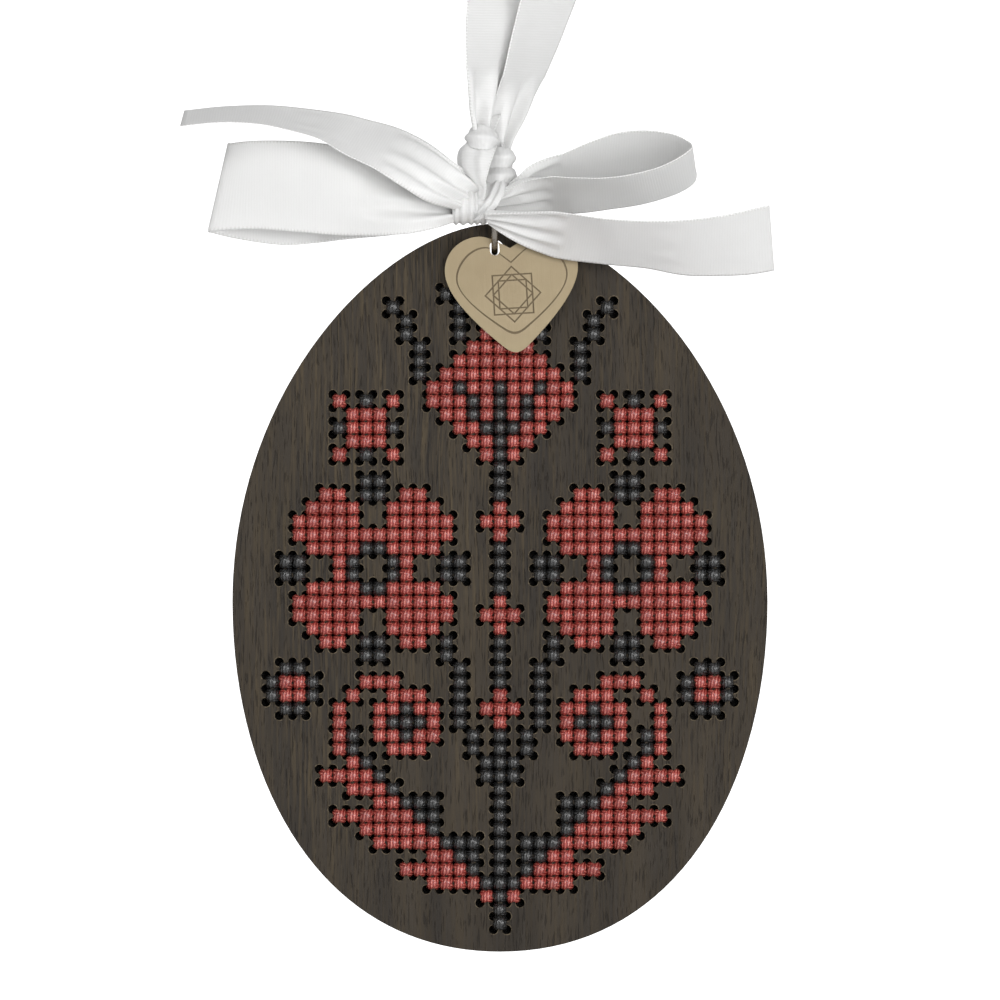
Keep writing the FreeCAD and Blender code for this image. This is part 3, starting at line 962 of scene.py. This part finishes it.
@dataclass
class Embroidery:
    """Every motif of floss, and the rims of the holes it passes through."""

    board_low: Vector
    red: bpy.types.Material
    black: bpy.types.Material
    rim: bpy.types.Material
    cells: dict[str, list[Vector]] = field(default_factory=dict)

    def read_cells(self) -> None:
        """Find each motif's stitch centres from its thread node."""
        shift = self.row_shift()
        for name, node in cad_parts.items():
            if not name.startswith("thread_"):
                continue
            cells = {
                (round(vertex.co.x / MM / PITCH), round((vertex.co.z / MM - shift) / PITCH))
                for vertex in node.data.vertices
            }
            self.cells[name] = [Vector((x * PITCH, 0.0, z * PITCH + shift)) for x, z in sorted(cells)]

    def row_shift(self) -> float:
        """Find how far the rows of stitch centres lie above a whole number of pitches.

        Returns:
            The height in millimetres, less than one pitch.
        """
        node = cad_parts["thread_stem_diamond_middle_red"]
        heights = [vertex.co.z / MM for vertex in node.data.vertices]
        return ((min(heights) + max(heights)) / 2) % PITCH

    def build(self) -> None:
        """Build the floss of every motif and the hole rims."""
        self.read_cells()
        front = self.board_low.y / MM
        stitch = CrossStitch(front).build()
        for number, (name, spots) in enumerate(sorted(self.cells.items())):
            red = "_red" in name
            piece = Scatter(name.replace("thread_", "floss_"), 11 + number).build(
                spots, stitch, self.red if red else self.black
            )
            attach(piece, "egg")
            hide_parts(name)
        bpy.data.objects.remove(stitch)
        self.build_rims(front)

    def build_rims(self, front: float) -> None:
        """Build the rims of the stitch holes that aren't filled by four stitches.

        Args:
            front: The board's front face.
        """
        holes = Counter(
            (round(spot.x + x, 3), round(spot.z + z, 3))
            for spots in self.cells.values()
            for spot in spots
            for x in (-PITCH / 2, PITCH / 2)
            for z in (-PITCH / 2, PITCH / 2)
        )
        around = 14
        profile = [(0.69, 0.2), (0.68, 0.02), (0.78, -0.025), (0.84, 0.03)]
        points, faces = [], []
        for radius, depth in profile:
            for step in range(around):
                spin = math.tau * step / around
                points.append(Vector((radius * math.cos(spin), front + depth, radius * math.sin(spin))))
        faces += [tuple(reversed(face)) for face in tube_faces(len(profile), around, capped=False)]
        copy = mesh_object("one_rim", points, faces)
        spots = [Vector((x, 0.0, z)) for (x, z), legs in sorted(holes.items()) if legs < 4]
        piece = Scatter("hole_rims", 5, lean=3.0, swell=0.01).build(spots, copy, self.rim)
        bpy.data.objects.remove(copy)
        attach(piece, "egg")
        LOG.info("%d holes, %d rims in sight", len(holes), len(spots))


# ---- ribbon ------------------------------------------------------------------------------


@dataclass
class Bow:
    """The tied ribbon: loops, tails, knots and the hanging loop."""

    centre: Vector
    satin: bpy.types.Material
    loop_left_depth: float = -6.6
    loop_left_back: float = -2.6
    tail_left_depth: float = -8.6
    loop_right_depth: float = -4.2
    tail_right_depth: float = -10.6

    def tail_left(self) -> Strip:
        """Lay out the left tail.

        Returns:
            The strip.
        """
        y = self.tail_left_depth
        return Strip([
            Rung((-0.8, 3.3), (-3.4, -1.0), y + 3.6, width=5.1),
            Rung((-5.2, 6.4), (-9.0, 0.45), y + 0.6, width=9.4, cup=-0.9),
            Rung((-9.1, 9.3), (-13.5, 3.1), y, width=12.0, cup=-0.7),
            Rung((-13.5, 11.5), (-17.2, 5.4), y, cup=-0.2),
            Rung((-18.5, 12.9), (-21.7, 7.6), y, cup=0.3),
            Rung((-22.3, 13.8), (-25.7, 9.9), y, cup=0.5),
            Rung((-29.2, 14.7), (-30.6, 11.3), y + 0.4, cup=0.4),
            Rung((-34.1, 15.0), (-34.9, 12.1), y + 0.6, cup=0.2),
            Rung((-40.1, 14.8), (-40.4, 12.3), y + 0.6),
            Rung((-45.7, 14.2), (-46.2, 11.75), y + 0.6),
        ], pleats=3)

    def loop_left(self) -> Strip:
        """Lay out the left loop.

        Returns:
            The strip.
        """
        y, back = self.loop_left_depth, self.loop_left_back
        return Strip([
            Rung((-3.0, 2.2), (-4.9, -2.2), y + 1.8, width=5.2),
            Rung((-8.7, 5.1), (-8.7, -3.4), y + 0.8, width=9.5),
            Rung((-13.5, 7.2), (-13.5, -4.3), y, width=12.2, cup=-0.7),
            Rung((-21.7, 8.8), (-21.7, -4.5), y - 0.4, cup=-0.9),
            Rung((-28.3, 9.6), (-28.3, -4.0), y - 0.2, cup=-0.4),
            Rung((-35.1, 9.7), (-35.1, -3.5), y + 0.8),
            Rung((-38.9, 9.3), (-41.8, -3.8), y + 2.4),
            Rung((-38.5, 9.3), (-40.8, -4.3), back + 0.1),
            Rung((-36.0, 8.2), (-36.6, -5.2), back + 0.5),
            Rung((-30.9, 7.2), (-30.9, -5.9), back + 0.4),
            Rung((-26.0, 7.4), (-26.0, -5.6), back + 0.2),
            Rung((-21.7, 7.6), (-21.7, -5.1), back),
            Rung((-13.5, 6.6), (-13.5, -4.3), back, width=11.0),
            Rung((-5.2, 2.4), (-5.7, -2.5), back, width=5.2),
        ], pleats=3, phase=1.0)

    def loop_right(self) -> Strip:
        """Lay out the right loop.

        Returns:
            The strip.
        """
        y = self.loop_right_depth
        return Strip([
            Rung((0.9, 1.6), (0.7, -0.8), -6.8, width=2.6),
            Rung((3.1, 3.0), (3.6, -0.7), y - 1.2, width=6.0),
            Rung((5.4, 4.0), (6.6, -0.7), y, width=10.0),
            Rung((8.9, 4.3), (9.4, -0.8), y, cup=-0.5),
            Rung((12.6, 4.1), (12.9, -1.1), y - 0.3, cup=-0.6),
            Rung((17.5, 4.1), (17.9, -0.5), y - 0.4, cup=-0.4),
            Rung((21.6, 4.7), (22.5, 0.2), y - 0.4),
            Rung((25.0, 5.6), (26.2, 1.2), y - 0.2),
            Rung((27.8, 6.9), (28.9, 2.3), y + 0.2),
            Rung((29.6, 8.1), (30.6, 3.6), y + 0.8),
            Rung((30.2, 8.9), (30.8, 5.2), y + 1.5),
            Rung((29.2, 9.8), (29.6, 5.3), y + 2.2),
            Rung((26.6, 10.8), (26.6, 4.7), y + 2.9),
            Rung((22.8, 11.2), (22.6, 4.0), y + 3.2),
            Rung((18.9, 10.8), (18.4, 3.4), y + 3.3),
            Rung((14.5, 9.3), (14.0, 2.6), y + 3.2),
            Rung((10.9, 7.7), (10.4, 1.9), y + 2.8),
            Rung((6.7, 5.9), (6.6, 1.5), y + 2.2, width=10.0),
            Rung((4.4, 3.9), (4.4, 1.4), y + 1.2, width=6.5),
            Rung((2.6, 2.6), (2.6, 0.6), y + 1.0, width=4.0),
        ], near=Near.TOP, pleats=3, phase=2.0)

    def tail_right(self) -> Strip:
        """Lay out the right tail.

        Returns:
            The strip.
        """
        y = self.tail_right_depth
        return Strip([
            Rung((-0.9, -0.9), (-0.2, -2.4), y + 2.9, width=3.4),
            Rung((3.1, -0.8), (1.6, -3.7), y + 1.9, width=5.5),
            Rung((6.5, -0.7), (4.3, -5.3), y + 1.2, width=9.0),
            Rung((9.5, -0.8), (7.2, -6.7), y + 0.4, width=12.0),
            Rung((12.2, -1.3), (10.4, -7.9), y, cup=-0.3),
            Rung((15.9, -1.9), (14.8, -8.5), y - 0.2, cup=-0.4),
            Rung((19.1, -2.2), (18.6, -8.9), y - 0.2),
            Rung((23.6, -2.4), (23.6, -9.4), y - 0.2),
            Rung((29.4, -2.2), (29.0, -10.4), y),
            Rung((34.4, -1.6), (34.2, -10.5), y + 0.4),
            Rung((38.6, -0.7), (38.8, -10.3), y + 0.7),
            Rung((41.7, 0.0), (42.5, -9.7), y + 0.9),
        ], near=Near.TOP, pleats=3, phase=0.6)

    def hang_loop(self) -> Strip:
        """Lay out the hanging loop, up on the left, over and down on the right.

        Returns:
            The strip.
        """
        top = -self.centre.z
        return Strip([
            Rung((-2.7, 10.6), (0.1, 10.6), -3.2, width=4.0),
            Rung((-3.4, 14.8), (1.7, 14.8), -3.0, width=8.0),
            Rung((-3.6, 20.8), (3.8, 20.8), -3.2),
            Rung((-3.6, 27.0), (5.2, 27.0), -2.6),
            Rung((-3.4, 31.5), (5.0, 31.5), -1.6),
            Rung((-4.0, 38.0), (0.0, 38.0), -0.6),
            Rung((-3.6, 46.0), (-3.0, 46.0), 0.0),
            Rung((-3.3, 53.0), (-2.9, 53.0), 0.0),
            Rung((-1.6, 60.0), (-1.4, 60.0), 0.0),
            Rung((2.2, top + 0.1), (2.4, top + 0.1), 0.0),
            Rung((6.0, 62.4), (6.2, 62.4), 0.0),
            Rung((9.2, 56.6), (9.4, 56.6), 0.0),
            Rung((10.3, 49.0), (10.7, 49.0), 0.2),
            Rung((10.0, 42.0), (11.6, 42.0), 0.8),
            Rung((5.8, 34.4), (13.6, 34.4), 2.0),
            Rung((3.6, 26.8), (11.3, 26.8), 3.0),
            Rung((2.0, 19.6), (8.2, 19.4), 3.0),
            Rung((0.6, 14.2), (5.8, 14.0), 1.6, width=9.0),
            Rung((0.4, 10.8), (3.6, 10.2), 0.6, width=5.0),
            Rung((0.3, 8.2), (2.6, 7.6), 0.0, width=3.6),
        ], near=Near.TOP, pleats=2, phase=0.4)

    def bow_wrap(self) -> Strip:
        """Lay out the wrap round the bow's knot.

        Returns:
            The strip.
        """
        rungs = []
        for step in range(13):
            spin = math.tau * step / 12
            z = -0.25 + 2.45 * math.cos(spin)
            y = -3.6 - 3.6 * math.sin(spin)
            rungs.append(Rung((-5.6, z), (-0.5, z), y, width=5.1))
        return Strip(rungs, pleats=5, phase=0.8, fold=0.4, steps=4)

    def knot_strand(self) -> Strip:
        """Lay out the strand from the stop knot down across the ring into the bow.

        Returns:
            The strip.
        """
        return Strip([
            Rung((-0.3, 4.8), (2.4, 4.2), -3.0, width=3.6),
            Rung((-0.8, 3.5), (2.4, 2.7), -5.6, width=4.4, cup=-0.3),
            Rung((-1.3, 1.7), (1.6, 0.9), -7.2, width=4.0, cup=-0.4),
            Rung((-2.3, 0.4), (0.5, -0.7), -7.4, width=3.6, cup=-0.4),
            Rung((-3.2, -0.9), (-1.4, -2.1), -6.3, width=3.0),
            Rung((-3.6, -1.4), (-2.4, -2.3), -4.6, width=2.4),
        ], pleats=3, phase=0.7, fold=0.3)

    def stop_front(self) -> Strip:
        """Lay out the stop knot's front fold, a bright facet that narrows downwards.

        Returns:
            The strip.
        """
        return Strip([
            Rung((-3.2, 9.6), (0.9, 9.4), -3.4, width=4.6, cup=-1.0),
            Rung((-4.5, 8.5), (0.8, 8.3), -4.4, width=6.4, cup=-1.4),
            Rung((-4.9, 7.2), (0.4, 7.2), -4.9, width=7.0, cup=-1.3),
            Rung((-4.7, 5.8), (0.0, 6.0), -5.3, width=6.6, cup=-1.1),
            Rung((-3.7, 4.6), (-0.3, 4.9), -5.8, width=5.6, cup=-0.9),
            Rung((-2.3, 3.6), (-0.6, 3.8), -6.3, width=4.0, cup=-0.6),
            Rung((-1.9, 2.2), (-0.6, 2.4), -6.6, width=3.2),
            Rung((-2.4, 0.8), (-0.9, 0.8), -6.6, width=3.0),
        ], pleats=2, phase=0.3, fold=0.14)

    def stop_band(self) -> Strip:
        """Lay out the stop knot's band across the front.

        Returns:
            The strip.
        """
        return Strip([
            Rung((-2.3, 10.9), (-2.9, 9.3), -1.2, width=3.4, cup=0.4),
            Rung((-2.8, 11.3), (-3.3, 8.9), -3.0, width=3.4, cup=0.6),
            Rung((-2.1, 11.9), (-2.5, 8.5), -4.8, width=4.0, cup=0.9),
            Rung((-0.8, 11.9), (-0.9, 8.2), -5.6, width=4.2, cup=1.0),
            Rung((0.3, 11.3), (0.2, 8.3), -5.0, width=3.6, cup=0.8),
            Rung((0.9, 10.6), (0.8, 8.6), -3.4, width=3.0, cup=0.4),
            Rung((0.7, 10.2), (0.6, 8.8), -1.6, width=3.0),
        ], pleats=2, phase=1.2, fold=0.16)

    def stop_lobes(self) -> list[Strip]:
        """Lay out the two rounded folds on the stop knot's right.

        Returns:
            The upper and the lower fold.
        """
        upper = [
            Rung((0.2, 8.7), (0.0, 5.6), -3.0, width=3.6, cup=1.0),
            Rung((1.5, 8.7), (1.4, 5.4), -3.2, width=3.8, cup=1.3),
            Rung((2.7, 8.4), (2.6, 5.6), -2.6, width=3.6, cup=1.3),
            Rung((3.1, 8.3), (3.1, 5.7), -1.2, width=3.4, cup=0.5),
            Rung((3.2, 8.0), (3.2, 5.8), 0.8, width=3.0, cup=0.3),
            Rung((2.4, 7.9), (2.4, 5.9), 2.0, width=3.2),
            Rung((0.4, 8.0), (0.4, 5.8), 2.4, width=3.2),
        ]
        lower = [
            Rung((-0.4, 5.7), (-0.5, 2.8), -4.0, width=3.8, cup=0.8),
            Rung((1.3, 5.9), (1.2, 2.4), -4.2, width=4.2, cup=1.4),
            Rung((2.8, 5.7), (2.6, 2.6), -3.4, width=4.0, cup=1.4),
            Rung((3.5, 5.4), (3.4, 2.9), -1.8, width=3.6, cup=0.5),
            Rung((3.6, 5.0), (3.5, 3.1), 0.2, width=3.2, cup=0.3),
            Rung((2.6, 5.2), (2.6, 3.0), 1.8, width=3.4),
            Rung((0.2, 5.4), (0.2, 3.0), 2.4, width=3.4),
        ]
        return [Strip(rungs, pleats=2, phase=0.5, fold=0.12) for rungs in (upper, lower)]

    def stop_turn(self) -> Strip:
        """Lay out the turn round the back and sides of the stop knot.

        Returns:
            The strip.
        """
        rungs = []
        for step in range(11):
            spin = math.radians(-30.0 + 24.0 * step)
            x = -0.6 - 2.8 * math.cos(spin)
            y = -0.6 + 2.9 * math.sin(spin)
            rungs.append(Rung((x, 9.4), (x, 3.4), y, width=6.1))
        return Strip(rungs, pleats=3, steps=4, fold=0.18)

    def build(self) -> None:
        """Build every ribbon piece."""
        stop = [self.stop_front(), self.stop_band(), self.stop_turn(), *self.stop_lobes()]
        knot = [self.bow_wrap(), self.knot_strand()]
        pieces = [
            Ribbon("ribbon_tail_left", "bow_tail_left", Held.DRAPED, [self.tail_left()]),
            Ribbon("ribbon_loop_left", "bow_loop_left", Held.FOLDED, [self.loop_left()]),
            Ribbon("ribbon_loop_right", "bow_loop_right", Held.FOLDED, [self.loop_right()]),
            Ribbon("ribbon_tail_right", "bow_tail_right", Held.DRAPED, [self.tail_right()]),
            Ribbon("ribbon_bow_knot", "bow_knot", Held.GATHERED, knot, "jump_ring"),
            Ribbon("ribbon_stop_knot", "stop_knot", Held.GATHERED, stop),
            Ribbon("ribbon_hang_loop", "hang_loop", Held.HUNG, [self.hang_loop()], "stop_knot"),
        ]
        for piece in pieces:
            piece.build(self.centre, self.satin)


# ---- board, ring and tag ------------------------------------------------------------------


@dataclass
class Hardware:
    """The pieces shown as their solids: board, jump ring and heart tag."""

    finishes: dict[str, bpy.types.Material]

    def build(self) -> None:
        """Give each piece its finish."""
        for name, material in self.finishes.items():
            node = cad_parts[name]
            node.data.materials.clear()
            node.data.materials.append(material)


@dataclass(frozen=True)
class Lamp:
    """A square area light aimed at the ornament, in metres and watts."""

    name: str
    place: tuple[float, float, float]
    size: float
    power: float


@dataclass
class Studio:
    """Soft lights, a pale floor and backdrop, and the camera, in metres."""

    paper: bpy.types.Material
    width: float = 0.1495
    distance: float = 5.0
    height: float = -0.1087
    sensor: float = 36.0
    ambient: float = 0.42
    lamps: tuple[Lamp, ...] = (
        Lamp("key", (-0.28, -0.47, 0.17), 0.16, 0.85),
        Lamp("fill", (0.75, -0.85, -0.25), 0.8, 8.0),
        Lamp("front", (0.3, -1.2, 0.05), 0.4, 3.4),
    )

    def put(self, name: str, data: bpy.types.ID, place: Sequence[float]) -> bpy.types.Object:
        """Put a lamp or the camera in the scene.

        Args:
            name: Its name.
            data: The lamp or camera.
            place: Where it stands.

        Returns:
            Its object.
        """
        thing = bpy.data.objects.new(name, data)
        thing.location = place
        bpy.context.scene.collection.objects.link(thing)
        return thing

    def light(self, lamp: Lamp) -> None:
        """Add one area light.

        Args:
            lamp: The light to add.
        """
        data = bpy.data.lights.new(lamp.name, "AREA")
        data.size = lamp.size
        data.energy = lamp.power
        aim = Vector((0.0, 0.0, self.height)) - Vector(lamp.place)
        thing = self.put(lamp.name, data, lamp.place)
        thing.rotation_euler = aim.to_track_quat("-Z", "Y").to_euler()

    def build(self) -> None:
        """Build the studio."""
        scene = bpy.context.scene
        for lamp in self.lamps:
            self.light(lamp)
        scene.world = bpy.data.worlds.new("studio")
        scene.world.use_nodes = True
        background = scene.world.node_tree.nodes["Background"]
        background.inputs["Color"].default_value = (1.0, 1.0, 1.0, 1.0)
        background.inputs["Strength"].default_value = self.ambient
        scene.view_settings.view_transform = "Standard"
        self.stage()
        camera = bpy.data.cameras.new("camera")
        camera.sensor_width = self.sensor
        camera.lens = self.sensor * self.distance / self.width
        camera.clip_end = 4 * self.distance
        scene.camera = self.put("camera", camera, (0.0, -self.distance, self.height))
        scene.camera.rotation_euler = (math.radians(90.0), 0.0, 0.0)

    def stage(self) -> None:
        """Build the floor, and a backdrop beyond the circle the camera moves on."""
        half, floor, low, high = 1500.0, -300.0, -900.0, 700.0
        rear = 1100.0 * self.distance
        flat = ((-half, -half), (half, -half), (half, half), (-half, half))
        upright = ((-half, low), (half, low), (half, high), (-half, high))
        points = [Vector((x, y, floor)) for x, y in flat]
        points += [Vector((x, rear, z)) for x, z in upright]
        sheet = mesh_object("floor_and_backdrop", points, [(0, 1, 2, 3), (4, 5, 6, 7)])
        sheet.data.materials.append(self.paper)


def main() -> None:
    """Build the whole scene in order."""
    logging.basicConfig(level=logging.INFO, format="%(name)s: %(message)s")
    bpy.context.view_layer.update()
    low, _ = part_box("egg_board")
    ring_low, ring_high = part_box("jump_ring")
    # Each floss gets its mid colour, its painted shade between strands, and its painted highlight on
    # strand crests.
    red = Floss("floss_red", linear(170, 54, 50), linear(84, 11, 11), linear(250, 168, 148))
    black = Floss("floss_black", linear(27, 27, 26), linear(9, 9, 9), linear(92, 92, 94))
    Hardware({
        "egg_board": StainedPlywood().build(),
        "jump_ring": PlatedWire().build(),
        "heart_tag": PaleGold(front=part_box("heart_tag")[0].y).build(),
        # The back felt's black is painted shade for the holes.
        "back_felt": BlackFeltPaintedShade().build(),
    }).build()
    LOG.info("board, ring and tag have their finishes")
    Embroidery(low, red.build(), black.build(), HoleRim().build()).build()
    LOG.info("floss is in place")
    centre = Vector((
        ring_low.x / MM - KNOT_LEFT_OF_RING, 0.0, ring_high.z / MM - KNOT_BELOW_RING_TOP
    ))
    Bow(centre, Satin().build()).build()
    LOG.info("ribbon is tied")
    Studio(PalePaper().build()).build()


if __name__ == "__main__":
    main()
